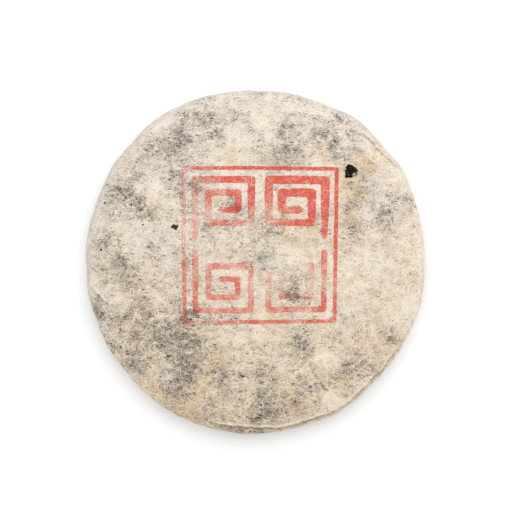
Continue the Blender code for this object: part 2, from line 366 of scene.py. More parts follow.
def shoulder_off(x, y):
    """How far outside the shoulder each point is, and how plain the shoulder is there."""
    turn = np.degrees(np.arctan2(y, x)) % 360.0
    directions, shares = zip(*SHOULDER)
    line = np.interp(turn, directions, shares) * half_width * outline_share(np.radians(turn))
    line = line + 0.0007 * field(turn * 0.0017, turn * 0.0, 0.007, 72)
    plain = smooth((turn - 251.0) / 8.0) * smooth((333.0 - turn) / 14.0)
    plain = plain * (1.0 - 0.35 * smooth((turn - 288.0) / 15.0))
    return np.hypot(x, y) - line, plain


def crease_relief(x, y):
    """How far the folds in the sheet stand up at each place, and their painted shade and highlight:
    tan painted shade in the shoulder groove and beside each fold, darker on its shaded side, and
    painted highlight along the ridges.
    """
    off, plain = shoulder_off(x, y)
    ridge = np.exp(-((off / 0.0006) ** 2))
    groove = np.exp(-(((off - 0.0013) / 0.0006) ** 2))
    total = plain * (0.00045 * ridge - 0.00030 * groove)
    # Painted shade, tan, in the groove outside the shoulder, and painted highlight on the shoulder
    # ridge
    brown = plain * (1.1 * groove - 1.4 * ridge)
    for start_x, start_y, end_x, end_y, height, half, fold_shade in CREASES:
        start = np.array((start_x, start_y)) * MM
        run = np.array((end_x, end_y)) * MM - start
        length = math.hypot(*run)
        run = run / length
        along = (x - start[0]) * run[0] + (y - start[1]) * run[1]
        bow = 0.0005 * field(along, along * 0.0 + start[0], 0.007, 71)
        across = (y - start[1]) * run[0] - (x - start[0]) * run[1] + bow
        ends = smooth((along + 0.001) / 0.003) * smooth((length + 0.001 - along) / 0.003)
        total += MM * height * ends * np.exp(-np.abs(across / (MM * half)) ** 1.5)
        side = np.abs(across) / (MM * half)
        # Painted shade beside each fold, stronger on its shaded side, with painted highlight along
        # raised folds and painted shade along sunken ones
        edge = np.exp(-(((side - 1.3) / 0.65) ** 2)) * np.where(across < 0.0, 1.2, 0.35)
        brown += ends * (fold_shade * edge - 2.2 * height * np.exp(-((side / 0.8) ** 2)))
    return total, brown


def pleat_rise(radius, angle):
    """The gathers underneath, each a fold that runs from the rim to the dimple."""
    draw = random.Random(24)
    depths = np.array([draw.uniform(0.0004, 0.0008) for _ in range(PLEATS)])
    place = (angle % math.tau) / math.tau * PLEATS
    fold = place.astype(int) % PLEATS
    groove = np.clip(1.0 - 4.0 * np.abs(place - np.floor(place) - PLEAT_PLACE), 0.0, 1.0)
    reach = smooth((radius - 0.0140) / 0.0140) * smooth((PLEAT_END - radius) / PLEAT_FADE)
    return depths[fold] * groove * reach


def outline_fit():
    """What centres the outline and gives it its full width and length."""
    angle = np.linspace(0.0, math.tau, 3600)
    reach = half_width * outline_share(angle)
    fits = []
    for across, half in ((reach * np.cos(angle), half_width), (reach * np.sin(angle), half_length)):
        fits.append((0.5 * (across.max() + across.min()), 2.0 * half / (across.max() - across.min())))
    return fits


sheet_ridges = leaf_ridges()
fit_x, fit_y = outline_fit()


def sheet_place(down, angle):
    """Where each point of the sheet lies, from its turn down and its turn round."""
    radius, height = sheet_profile(down)
    weight = smooth(radius / FOOT_RADIUS)
    reach = radius * (1.0 + (outline_share(angle) - 1.0) * weight)
    round_x = 0.1 * np.cos(angle)
    round_y = 0.1 * np.sin(angle)
    reach = reach + 0.0003 * field(round_x, round_y, 0.008, 73) * smooth((radius - 0.085) / 0.01)
    x = reach * np.cos(angle)
    y = reach * np.sin(angle)
    on_top = height > WIDEST_HEIGHT
    relief = leaf_relief(x, y, sheet_ridges) * smooth((height - WIDEST_HEIGHT) / (0.4 * CROWN_HEIGHT))
    relief += pleat_rise(reach, angle) * ~on_top
    inward = 1.0 + 2.0 * reach - 5.0 * height
    wrinkle = np.abs(field(round_x * inward, round_y * inward, 0.0016, 44))
    relief += 0.00015 * wrinkle * ~on_top * smooth((reach - 0.012) / 0.01)
    x = (x - fit_x[0]) * fit_x[1]
    y = (y - fit_y[0]) * fit_y[1]
    crumple = 0.00014 * field(x, y, 0.0065, 41) + 0.00010 * field(x, y, 0.0030, 42)
    crumple += 0.00022 * field(x, y, 0.014, 43)
    crumple = crumple * smooth((height - WIDEST_HEIGHT) / (0.3 * CROWN_HEIGHT))
    relief += (crumple + crease_relief(x, y)[0]) * on_top
    return np.column_stack((x, y, height + relief))


def turns_of(directions):
    flat = np.hypot(directions[:, 0], directions[:, 1])
    down = np.arctan2(flat, directions[:, 2])
    return down, np.arctan2(directions[:, 1], directions[:, 0])


def near_folds(x, y):
    """Where the grid has to be finer: beside the folds and round the tear."""
    near = np.hypot(x - TEAR_CENTRE[0], y - TEAR_CENTRE[1]) < 0.0068
    for start_x, start_y, end_x, end_y, _, half, _ in CREASES:
        run = np.array((end_x - start_x, end_y - start_y)) * MM
        length = math.hypot(*run)
        along = ((x - start_x * MM) * run[0] + (y - start_y * MM) * run[1]) / length
        across = ((y - start_y * MM) * run[0] - (x - start_x * MM) * run[1]) / length
        off = np.hypot(np.maximum(np.maximum(-along, along - length), 0.0), across)
        near |= off < MM * half * 2.2
    off, plain = shoulder_off(x, y)
    return near | (plain > 0.05) & (np.abs(off - 0.0005) < 0.0028)


# The whole of the torn edge is nearer than this to the middle of the tear
TEAR_LIMIT = 0.0075
# How far the torn edge is from the middle in millimetres, in even turns from the right
TEAR_REACH = (
    4.25, 4.2, 4.05, 3.9, 3.7, 3.5, 3.7, 3.9, 4.05, 4.4, 4.7, 4.35, 4.1, 3.7, 2.9, 3.2,
    3.7, 3.85, 3.6, 4.0, 5.3, 4.8, 4.1, 3.9, 4.0, 3.7, 3.4, 3.2, 3.6, 4.05, 4.2, 4.3,
)


def tear_reach(angle):
    """How far the torn edge is from the middle of the tear, ragged most on its left."""
    turns = np.linspace(0.0, math.tau, len(TEAR_REACH) + 1)
    reach = np.interp(angle % math.tau, turns, TEAR_REACH + TEAR_REACH[:1])
    left = 0.4 + 0.6 * smooth(-np.cos(angle))
    saw = 0.40 * field(4.0 * np.cos(angle), 4.0 * np.sin(angle), 0.9, 81)
    saw = saw + 0.30 * field(4.0 * np.cos(angle), 4.0 * np.sin(angle), 0.4, 82)
    return MM * (reach + left * saw)


def cut_tear(sheet):
    """Opens the tear, lifts its torn lip a little, and gives the edge the paper's thickness."""

    def off(place):
        x = place.x - TEAR_CENTRE[0]
        y = place.y - TEAR_CENTRE[1]
        return math.hypot(x, y), math.atan2(y, x)

    inside = []
    for face in sheet.faces:
        middle = face.calc_center_median()
        far, angle = off(middle)
        if far < TEAR_LIMIT and middle.z > WIDEST_HEIGHT and far < tear_reach(angle):
            inside.append(face)
    bmesh.ops.delete(sheet, geom=inside, context="FACES")
    edge = [side for side in sheet.edges if side.is_boundary]
    lip = {point for side in edge for point in side.verts}
    for point in lip:
        far, angle = off(point.co)
        reach = 0.5 * (far + float(tear_reach(angle)))
        point.co.x = TEAR_CENTRE[0] + reach * math.cos(angle)
        point.co.y = TEAR_CENTRE[1] + reach * math.sin(angle)
    for point in sheet.verts:
        far, angle = off(point.co)
        if far < TEAR_LIMIT and point.co.z > WIDEST_HEIGHT:
            near = float(smooth(1.0 - (far - float(tear_reach(angle))) / 0.0013))
            lower_right = max(0.0, math.cos(angle + 0.8))
            point.co.z += near * (0.00016 + 0.00035 * lower_right ** 3)
    turned = bmesh.ops.extrude_edge_only(sheet, edges=edge)
    for point in turned["geom"]:
        if isinstance(point, bmesh.types.BMVert):
            far, angle = off(point.co)
            point.co.x += 0.00012 * math.cos(angle)
            point.co.y += 0.00012 * math.sin(angle)
            point.co.z -= 0.00045


def ball_points(ball):
    points = np.array([point.co for point in ball.verts])
    return points / np.linalg.norm(points, axis=1, keepdims=True)


sheet = bmesh.new()
bmesh.ops.create_cube(sheet, size=2.0)
bmesh.ops.subdivide_edges(sheet, edges=sheet.edges, cuts=SHEET_CELLS - 1, use_grid_fill=True)
for point in sheet.verts:
    point.co = [math.tan(0.25 * math.pi * value) for value in point.co]
placed = sheet_place(*turns_of(ball_points(sheet)))
fine = near_folds(placed[:, 0], placed[:, 1]) & (placed[:, 2] > WIDEST_HEIGHT)
sheet.verts.index_update()
fine_edges = [edge for edge in sheet.edges if fine[edge.verts[0].index] and fine[edge.verts[1].index]]
bmesh.ops.subdivide_edges(sheet, edges=fine_edges, cuts=2, use_grid_fill=True)
placed = sheet_place(*turns_of(ball_points(sheet)))
from_tear = np.hypot(placed[:, 0] - TEAR_CENTRE[0], placed[:, 1] - TEAR_CENTRE[1])
fine = (from_tear < 0.0062) & (placed[:, 2] > WIDEST_HEIGHT)
sheet.verts.index_update()
fine_edges = [edge for edge in sheet.edges if fine[edge.verts[0].index] and fine[edge.verts[1].index]]
bmesh.ops.subdivide_edges(sheet, edges=fine_edges, cuts=1, use_grid_fill=True)
placed = sheet_place(*turns_of(ball_points(sheet)))
for point, place in zip(sheet.verts, placed):
    point.co = place
cut_tear(sheet)

sheet_mesh = bpy.data.meshes.new("paper_sheet")
sheet.to_mesh(sheet_mesh)
sheet.free()

# The finish of the paper
# The paper is cream and uneven, with long curly fibres. Where it is thin the dark leaves show
# through between the fibres, and their juice has stained it. Marks are kept on the mesh, and
# painted shade and highlight from the wall, folds and pleats ride in the same marks.


def attribute(tree, name):
    return shader_node(tree, "Attribute", attribute_name=name).outputs["Fac"]


def fibre_lines(tree, size, width, shift):
    """Fine curly lines: where distorted noise crosses its middle."""
    noise = grain(tree, size, 1.0, 1.2, shift)
    off = sums(tree, sums(tree, noise, 0.5, "SUBTRACT"), 0.0, "ABSOLUTE")
    return eased(tree, off, 0.0, width, 1.0, 0.0)


def scaled(tree, value, middle, factor):
    """A noise value set about zero and made stronger or weaker."""
    return sums(tree, sums(tree, value, middle, "SUBTRACT"), factor, "MULTIPLY")


def aged_paper(tree, fine, web):
    """The colour of the sheet from its marks: thin places, stains, warm and loose parts, and the
    painted shade and highlight of the wall, folds and pleats carried in the darkness and stain marks.
    """
    pulp = grain(tree, 0.0045, 3.0, 0.3, 0.7, 1.2)
    wisps = grain(tree, 0.0036, 4.0, 1.2, 0.5, 1.3)
    clumps = grain(tree, 0.0016, 3.0, 1.0, 0.8, 1.2)
    uneven = sums(tree, scaled(tree, wisps, 0.5, 2.3), scaled(tree, clumps, 0.5, 0.85))
    dark = sums(tree, attribute(tree, "leaf_dark_and_shading"), uneven)
    colour = layered(tree, attribute(tree, "warmth"), (0.652, 0.566, 0.484), (0.605, 0.448, 0.285))
    thick = eased(tree, dark, 0.0, -0.6, 0.0, 0.65)
    colour = layered(tree, thick, colour, (0.845, 0.75, 0.64))
    cloudy = eased(tree, pulp, 0.36, 0.66, 0.0, 0.58)
    colour = layered(tree, cloudy, colour, (0.825, 0.715, 0.595))
    tan = sums(tree, attribute(tree, "tea_stain_and_shade"), scaled(tree, pulp, 0.5, 1.2))
    colour = layered(tree, eased(tree, tan, 0.05, 1.1, 0.0, 0.85), colour, (0.600, 0.430, 0.250))
    colour = layered(tree, eased(tree, dark, 0.04, 1.0, 0.0, 0.74), colour, (0.200, 0.168, 0.134))
    shade = eased(tree, fine, 0.58, 0.36, 0.0, 0.80)
    shade = sums(tree, shade, eased(tree, dark, -0.2, 0.8, 0.14, 1.2), "MULTIPLY")
    colour = layered(tree, shade, colour, (0.27, 0.215, 0.165))
    gaps = sums(tree, scaled(tree, fine, 0.5, -5.0), scaled(tree, web, 0.0, -0.24))
    between = sums(tree, eased(tree, dark, -0.1, 1.25, -0.24, 0.89), gaps)
    colour = layered(tree, eased(tree, between, 0.44, 0.94, 0.0, 0.92), colour, (0.034, 0.028, 0.024))
    light = sums(tree, scaled(tree, fine, 0.5, 3.0), web)
    colour = layered(tree, eased(tree, light, 0.0, 1.1, 0.0, 0.42), colour, (0.88, 0.79, 0.675))
    return layered(tree, scaled(tree, attribute(tree, "loose"), 0.0, 0.85), colour, (0.50, 0.47, 0.44))


def printed(tree, colour, fine, web, hold):
    """The worn red print over the paper, of which the surface holds this share."""
    edge = scaled(tree, grain(tree, 0.0014, 3.0, 0.4, 0.9), 0.5, 1.0)
    inside = eased(tree, sums(tree, attribute(tree, "ink_reach"), edge), -0.20, 0.22)
    dry = sums(tree, scaled(tree, fine, 0.5, 2.2), scaled(tree, web, 0.0, -0.20))
    cover = attribute(tree, "ink_cover")
    cover = sums(tree, cover, sums(tree, cover, dry, "MULTIPLY"))
    share = sums(tree, inside, eased(tree, cover, 0.0, 1.0, 0.0, hold), "MULTIPLY")
    aged = eased(tree, attribute(tree, "leaf_dark_and_shading"), 0.35, 1.15, 0.0, 0.8)
    red = layered(tree, aged, (0.630, 0.068, 0.040), (0.120, 0.035, 0.025))
    return layered(tree, share, colour, red)


def paper_finish(name):
    material, tree, shader = new_finish(name, 0.88, 0.25)
    coarse_lines = fibre_lines(tree, 0.0042, 0.030, 0.1)
    fine_lines = fibre_lines(tree, 0.0028, 0.035, 0.4)
    web = sums(tree, coarse_lines, fine_lines, "MAXIMUM")
    fine = grain(tree, 0.0010, 2.5, 0.8, 0.2, 1.3)
    colour = printed(tree, aged_paper(tree, fine, web), fine, web, 0.94)
    tree.links.new(colour, shader.inputs["Base Color"])
    set_relief(tree, shader, sums(tree, scaled(tree, web, 0.0, 0.5), fine), 0.00016, 0.55)
    return material


sheet_finish = paper_finish("mulberry_paper_wrap")
wrap = shown("paper_sheet", sheet_mesh, sheet_finish)
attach(wrap, "root")
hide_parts("paper_wrap")

# The print and the marks
# A worn red square, with a plain running fret in each quarter, was pressed on the paper by hand,
# harder at the top and right. The stains and the thin places came with age.
# Painted shade on the lower side wall, beside the folds and in the pleats underneath, and painted
# highlight on the fold ridges, are laid in with these marks.

PRINT_CENTRE = (0.0024, 0.0080)
FRAME_HALF = (0.0439, 0.0451)
FRAME_LINE = 0.0012
FRET_STROKE = 0.0019
FRET_PATH = ((37.4, 5.0), (37.4, 38.2), (5.0, 38.2), (5.0, 12.6), (29.8, 12.6), (29.8, 30.6),
             (12.6, 30.6), (12.6, 20.2), (22.2, 20.2))
THIN_SIZE = 0.0041
THIN_HALO = 0.0105
PALE_SIZE = 0.0058
STAIN_SIZE = 0.0068
# Where leaves show through: x and y in millimetres, and how strongly in tenths
THIN_PLACES = (
    (-45, 73, 9), (-34, 86, 6), (-30, 80, 6), (-41, 84, 3), (-30, 96, 4), (-22, 71, 7),
    (-9, 84, 5), (-47, 65, 6), (-58, 70, 3), (-74, 58, 2), (-89, 42, 6), (-80, 39, 5),
    (-74, 39, 6), (-69, 32, 5), (-68, 49, 5), (-48, 48, 6), (-45, 41, 6), (-33, 41, 7),
    (-9, 29, 8), (-27, 17, 5), (-65, 26, 5), (2, 100, 5), (50, 83, 8), (35, 73, 8), (44, 70, 7),
    (17, 63, 8), (16, 76, 7), (25, 63, 6), (51, 59, 6), (60, 66, 4), (88, 36, 5), (91, 31, 4),
    (73, 26, 5), (77, 24, 5), (79, 18, 5), (55, 31, 5), (42, 26, 5), (10, 17, 6), (4, 0, 6),
    (-6, 4, 5), (-78, -2, 6), (-78, -12, 6), (-71, -16, 5), (-88, 8, 6), (-94, -25, 4),
    (-92, -31, 5), (-78, -35, 6), (-64, -29, 5), (-62, -38, 9), (-71, -47, 6), (-71, -58, 7),
    (-69, -62, 6), (-82, -51, 5), (-53, -42, 7), (-38, -33, 11), (-45, -40, 6), (-43, -46, 10),
    (-35, -48, 10), (-38, -63, 10), (-39, -70, 10), (-47, -59, 4), (-42, -56, 7), (-32, -63, 6),
    (-50, -76, 4), (-44, -80, 4), (-22, -69, 5), (-20, -74, 5), (-27, -84, 4), (-29, -92, 4),
    (-1, -95, 2), (-8, -70, 5), (20, -21, 9), (26, -23, 5), (22, -49, 4), (29, -55, 7),
    (26, -48, 6), (36, -75, 9), (29, -75, 6), (26, -67, 5), (55, -63, 5), (51, -65, 5),
    (63, -60, 6), (69, -65, 5), (74, -43, 5), (80, -51, 3), (48, -46, 5), (8, -91, 4),
    (1, -98, 3), (12, -71, 4), (5, -85, 5), (24, -81, 4), (0, -68, 4), (-9, -42, 3), (58, 42, 4),
    (-54, -51, 6), (-40, 26, 9), (-66, -27, 4), (-59, -2, 3), (4, -79, 4), (15, -87, 4),
    (56, 73, 4), (-65, 60, 6), (-62, 7, 4), (28, 89, 4), (-25, 90, 3), (54, -78, 3), (66, 42, 4),
    (14, 92, 5), (25, 95, 5), (46, 66, 6), (60, 34, 4), (44, -72, 4), (-72, 26, 4), (-20, -38, 3),
    (57, 17, 3),
)
# Where the pulp lies thick and pale, in the same way; the two on the left at (-81, -23) and (-94, -15)
# are painted highlight along a fold
PALE_PLACES = (
    (-9, 70, 6), (-18, 63, 5), (-58, 37, 8), (-81, -23, 6), (42, -59, 7), (77, -31, 3),
    (59, 55, 2), (7, 77, 3), (46, -84, 9), (43, -84, 3), (20, 89, 2), (-25, -78, 5), (33, -77, 4),
    (94, -2, 6), (72, 60, 5), (-13, 78, 5), (-65, 43, 3), (-54, -26, 4), (-14, -47, 5),
    (-32, -70, 4), (-54, -64, 4), (-91, 26, 4), (-55, 84, 4), (-81, 52, 4), (2, 86, 3),
    (58, 75, 3), (68, 67, 3), (86, 49, 4), (84, 10, 3), (56, -4, 5), (2, -40, 4), (90, -28, 3),
    (-94, -15, 5), (-9, -8, 5), (10, -11, 5), (24, -3, 6),
)
# Where tea has stained the paper, in the same way
STAINS = (
    (-18, 61, 6), (9, 58, 7), (55, 47, 6), (55, 23, 8), (58, 59, 7), (71, 58, 5), (77, 7, 4),
    (52, -9, 6), (78, -27, 7), (-71, -42, 6), (-31, -72, 7), (-58, -79, 5), (-38, -87, 7),
    (21, -83, 7), (20, 20, 8), (33, 19, 6), (14, 30, 5), (-10, 57, 5), (60, 37, 9), (26, 61, 5),
    (40, 61, 5), (-50, -83, 7), (-61, -76, 6), (-40, -90, 6), (52, 38, 6), (-22, -62, 4),
    (72, 62, 4), (66, 52, 4), (42, 50, 4), (47, -79, 5), (42, -63, 4), (-19, -57, 4),
    (-13, -84, 4), (64, -43, 4), (77, -52, 4), (52, -70, 4), (28, -88, 5),
)


def blots(x, y, marks, size):
    """Soft blots about these places, as one amount at each point."""
    total = np.zeros_like(x)
    for mark_x, mark_y, tenths in marks:
        off = (x - MM * mark_x) ** 2 + (y - MM * mark_y) ** 2
        total += 0.1 * tenths * np.exp(-off / size ** 2)
    return total


def print_reach(x, y):
    """How far inside the printed lines each point is, in millimetres."""
    u = (x - PRINT_CENTRE[0]) * 1000.0
    v = (y - PRINT_CENTRE[1]) * 1000.0
    across = 0.999 * u - 0.15 - 0.0048 * v - 0.00043 * u * v + 0.18 * field(x, y, 0.02, 61)
    v = 1.0056 * v + 0.65 - 0.0046 * u + 0.00023 * u * v + 0.18 * field(x, y, 0.02, 62)
    pressed = (0.15 + 0.55 * smooth((across + 20.0) / 40.0)) * smooth((v - 5.0) / 25.0)
    pressed = pressed - 0.25 * smooth((-5.0 - v) / 25.0)
    u = np.abs(across)
    v = np.abs(v)
    half_u = 1000.0 * FRAME_HALF[0]
    half_v = 1000.0 * FRAME_HALF[1]
    outside = np.hypot(np.maximum(u - half_u, 0.0), np.maximum(v - half_v, 0.0))
    square = outside + np.minimum(np.maximum(u - half_u, v - half_v), 0.0)
    reach = 1000.0 * FRAME_LINE - np.abs(square)
    for start, end in zip(FRET_PATH, FRET_PATH[1:]):
        run = (end[0] - start[0], end[1] - start[1])
        share = ((u - start[0]) * run[0] + (v - start[1]) * run[1]) / (run[0] ** 2 + run[1] ** 2)
        share = np.clip(share, 0.0, 1.0)
        off = np.hypot(u - start[0] - share * run[0], v - start[1] - share * run[1])
        reach = np.maximum(reach, 1000.0 * FRET_STROKE + pressed - off)
    return np.clip(reach, -3.0, 3.0)


def sided(value, half):
    """From -1 to 1 as the value goes from one side of the middle to the other."""
    return np.clip(value / half, -1.0, 1.0)


def paper_marks(x, y, z):
    """Every mark on the paper at these points, by the name of its attribute, with painted shade and
    highlight laid into the darkness and stain.
    """
    # Underneath is what lies below this height, which is more inside the dimple
    under_below = 0.006 + 0.008 * smooth((0.060 - np.hypot(x, y)) / 0.020)
    under = smooth((under_below - z) / 0.004)
    wander_x = x + 0.0022 * field(x, y, 0.007, 51) + 0.0015 * field(x, y, 0.003, 52)
    wander_y = y + 0.0022 * field(x, y, 0.007, 53) + 0.0015 * field(x, y, 0.003, 54)
    seen = 0.66 * blots(wander_x, wander_y, THIN_PLACES, THIN_SIZE)
    seen += 0.20 * blots(wander_x, wander_y, THIN_PLACES, THIN_HALO)
    pale = blots(wander_x, wander_y, PALE_PLACES, PALE_SIZE)
    other = np.clip(0.9 * field(x + 0.5, y, 0.016, 55) + 0.2, 0.0, 1.0)
    cloud = 0.22 * field(x, y, 0.026, 66) + 0.14 * field(x, y, 0.012, 56)
    cloud = cloud + 0.22 * field(x, y, 0.0055, 57)
    patch = (0.86 + 0.6 * field(x, y, 0.0028, 58)) * seen
    dark = 0.125 - 0.02 * sided(y, 0.1) + cloud + patch * (1.0 - under) + other * under * 0.8
    radius = np.hypot(x, y) / outline_share(np.arctan2(y, x))
    turn = np.degrees(np.arctan2(y, x)) % 360.0
    off, plain = shoulder_off(x, y)
    # wall is painted shade: a darker, tan band on the side wall outside the shoulder, strongest at the
    # bottom, where the wall faces away from the lamp
    wall = plain * smooth(off / 0.0015) * (0.2 + 1.1 * np.exp(-(((turn - 266.0) / 15.0) ** 2)))
    # brown is the painted shade and painted highlight of the folds and the shoulder
    brown = crease_relief(x, y)[1] * (1.0 - under)
    dark = dark + (0.22 * wall + 0.45 * brown - 0.60 * pale - 0.09 * sided(x, 0.1)) * (1.0 - under)
    stain_and_shade = 1.30 * blots(wander_x, wander_y, STAINS, STAIN_SIZE) + 0.16 * field(x, y, 0.016, 59)
    stain_and_shade = stain_and_shade + 0.35 * wall + 2.2 * np.maximum(brown, 0.0)
    stain_and_shade = stain_and_shade * (1.0 - under) + under * np.clip(field(x, y + 0.4, 0.02, 60), 0.0, 1.0)
    # Painted shade, darker and tan, along the groove of each pleat underneath
    folds = turn / 360.0 * PLEATS
    pleat_shade = np.exp(-(((folds - np.floor(folds) - PLEAT_PLACE) / 0.11) ** 2)) * under
    pleat_shade = pleat_shade * smooth((radius - 0.012) / 0.014)
    pleat_shade = pleat_shade * smooth((PLEAT_END - radius) / PLEAT_FADE)
    dark = dark + 0.34 * pleat_shade
    stain_and_shade = stain_and_shade + 0.45 * pleat_shade
    warmth = 0.50 - 0.80 * y / 0.1 + 0.15 * x / 0.1 + 0.45 * field(x, y, 0.020, 63)
    warmth = warmth + 0.22 * field(x, y, 0.008, 67)
    left = smooth((turn - 100.0) / 20.0) * smooth((198.0 - turn) / 12.0)
    right = smooth((turn - 25.0) / 10.0) * smooth((80.0 - turn) / 15.0)
    band = smooth((radius - 0.0966) / 0.0012) * (1.0 - under)
    loose = band * np.maximum(left, 0.7 * right)
    cover = 0.82 + 0.12 * sided(x, 0.045) + 0.18 * sided(y - 0.01, 0.045)
    cover = cover + 0.26 * field(x, y, 0.011, 64) + 0.16 * field(x, y, 0.005, 65)
    worn = np.exp(-((x - 0.0055) ** 2 + (y - 0.008) ** 2) / 0.017 ** 2)
    worn = worn + 0.75 * np.exp(-((x - 0.0240) ** 2 + (y + 0.009) ** 2) / 0.017 ** 2)
    faint = smooth((-0.012 - x) / 0.02) * smooth((y + 0.012) / 0.02)
    cover = np.maximum(cover - 0.80 * worn - 0.36 * faint, 0.34 - 0.34 * worn)
    return {
        "leaf_dark_and_shading": np.clip(dark * (1.0 - 0.7 * loose), -0.6, 1.25),
        "tea_stain_and_shade": np.clip(stain_and_shade, 0.0, 1.2),
        "warmth": np.clip(warmth, 0.0, 1.0),
        "loose": loose,
        "ink_reach": np.where(under < 0.5, print_reach(x, y), -3.0),
        "ink_cover": np.clip(cover, 0.0, 1.0),
    }


def write_marks(mesh, marks):
    """Keeps the marks on the mesh, one number for each point."""
    for name, amounts in marks.items():
        layer = mesh.attributes.new(name, "FLOAT", "POINT")
        layer.data.foreach_set("value", amounts.astype(np.float32))


sheet_points = np.zeros(3 * len(sheet_mesh.vertices), dtype=np.float32)
sheet_mesh.vertices.foreach_get("co", sheet_points)
write_marks(sheet_mesh, paper_marks(*sheet_points.reshape(-1, 3).astype(float).T))

# The fibres on the sheet
# Strands of bark, coarser than the pulp, that lie curled every way on both sides of the cake,
# and a few that stand out from the torn edge. Each is a thin ridge pressed into the paper.

FIBRE_STEPS = 8
LONG_FIBRES = 3800
SHORT_FIBRES = 6000
FIBRES_BELOW = 5500
TORN_FIBRES = 16
TURNS_DOWN = np.linspace(0.0, math.pi, 4001)
profile_radius, profile_height = sheet_profile(TURNS_DOWN)
profile_steps = np.hypot(np.diff(profile_radius), np.diff(profile_height))
profile_length = np.concatenate(([0.0], np.cumsum(profile_steps)))
rim_length = float(np.interp(0.5 * math.pi, TURNS_DOWN, profile_length))


def strewn(count, draw, reach):
    """Starts anywhere on the unrolled sheet within this reach, and headings mostly sideways."""
    far = reach * np.sqrt(draw.uniform(0.0, 1.0, count))
    turn = draw.uniform(0.0, math.tau, count)
    u = far * np.cos(turn)
    return u, far * np.sin(turn), 4.0 * u + draw.normal(0.0, 0.85, count)


def round_tear(count, draw):
    """Starts just outside the torn edge, most on its lower right, and headings across it."""
    turn = draw.normal(-0.98, 0.28, count)
    far = tear_reach(turn) + draw.uniform(0.0004, 0.0010, count)
    middle = math.atan2(TEAR_CENTRE[1], TEAR_CENTRE[0])
    length = np.interp(math.hypot(*TEAR_CENTRE), profile_radius[:2000], profile_length[:2000])
    u = length * math.cos(middle) + far * np.cos(turn)
    v = length * math.sin(middle) + far * np.sin(turn)
    return u, v, turn + math.pi + draw.normal(0.0, 0.8, count)


def fibre_walk(starts, draw, lengths):
    """Curled paths on the unrolled sheet, from these starts and headings."""
    u, v, heading = (values[:, None] for values in starts)
    count = len(u)
    curl = draw.normal(0.0, 0.8, (count, 1))
    step = draw.uniform(*lengths, (count, 1)) / FIBRE_STEPS
    places = np.arange(FIBRE_STEPS) / FIBRE_STEPS
    jitter = draw.normal(0.0, 0.20, (count, FIBRE_STEPS))
    heading = heading + curl * places + np.cumsum(jitter, axis=1)
    ends = np.zeros((count, 1))
    across = np.concatenate((ends, np.cumsum(step * np.cos(heading), axis=1)), axis=1)
    along = np.concatenate((ends, np.cumsum(step * np.sin(heading), axis=1)), axis=1)
    return u + across, v + along


def on_sheet(u, v, below):
    """Points on the sheet for places on the unrolled one, and which way is out there."""
    length = np.hypot(u, v)
    angle = np.arctan2(v, u)
    length = np.where(below, profile_length[-1] - length, length)
    down = np.interp(length, profile_length, TURNS_DOWN)
    places = sheet_place(down.ravel(), angle.ravel()).reshape(*u.shape, 3)
    ahead = sheet_profile(down + 0.002)
    behind = sheet_profile(down - 0.002)
    fall = behind[1] - ahead[1]
    spread = ahead[0] - behind[0]
    out = np.stack((fall * np.cos(angle), fall * np.sin(angle), spread), axis=-1)
    return places, out / np.maximum(np.linalg.norm(out, axis=-1, keepdims=True), 1e-9)


def fibre_grid(count):
    """One bmesh grid cut into strips, each two faces wide and FIBRE_STEPS long."""
    grid = bmesh.new()
    rows = 3 * count - 1
    bmesh.ops.create_grid(grid, x_segments=FIBRE_STEPS, y_segments=rows, size=1.0)
    gaps = []
    for face in grid.faces:
        place = (face.calc_center_median().y + 1.0) * 0.5 * rows
        if int(place) % 3 == 2:
            gaps.append(face)
    bmesh.ops.delete(grid, geom=gaps, context="FACES")
    return grid


def lay_fibres(name, u, v, draw, widths, below=False, raised=0.0):
    """A piece of fibres along these paths, each a low ridge with its sides in the paper."""
    places, out = on_sheet(u, v, below)
    from_tear = places[..., :2] - TEAR_CENTRE
    far = np.hypot(from_tear[..., 0], from_tear[..., 1])
    over = far - tear_reach(np.arctan2(from_tear[..., 1], from_tear[..., 0])) < 0.0002
    kept = below | (raised > 0.0) | ~over.any(axis=1)
    places = places[kept]
    out = out[kept]
    count = len(places)
    along = np.gradient(places, axis=1)
    along /= np.linalg.norm(along, axis=2, keepdims=True)
    across = np.cross(out, along)
    share = np.linspace(0.0, 1.0, FIBRE_STEPS + 1)[None, :, None]
    taper = np.minimum(1.0, 0.25 + 5.0 * np.minimum(share, 1.0 - share))
    half = 0.5 * draw.uniform(*widths, (count, 1, 1)) * taper
    lift = draw.uniform(0.000015, 0.00004, (count, 1, 1)) * taper
    middle = places + (lift + raised) * out
    middle[..., 2] = np.maximum(middle[..., 2], 0.0)
    left = middle - half * across - 0.7 * lift * out
    right = middle + half * across - 0.7 * lift * out
    sides = [left, middle, right]
    rows = np.stack(sides, axis=1).reshape(3 * count, FIBRE_STEPS + 1, 3)
    rows[..., 2] = np.maximum(rows[..., 2], 0.0)
    grid = fibre_grid(count)
    mesh = bpy.data.meshes.new(name)
    grid.to_mesh(mesh)
    grid.free()
    flat = np.zeros(3 * len(mesh.vertices), dtype=np.float32)
    mesh.vertices.foreach_get("co", flat)
    flat = flat.reshape(-1, 3)
    row = np.rint((flat[:, 1] + 1.0) * 0.5 * (3 * count - 1)).astype(int)
    column = np.rint((flat[:, 0] + 1.0) * 0.5 * FIBRE_STEPS).astype(int)
    mesh.vertices.foreach_set("co", rows[row, column].astype(np.float32).ravel())
    marks = paper_marks(*middle.reshape(-1, 3).T)
    spot = row // 3 * (FIBRE_STEPS + 1) + column
    marks = {name: amounts[spot] for name, amounts in marks.items()}
    marks["fibre_tone"] = draw.uniform(0.0, 1.0, count)[row // 3]
    write_marks(mesh, marks)
    piece = shown(name, mesh, fibre_finish)
    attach(piece, "root")


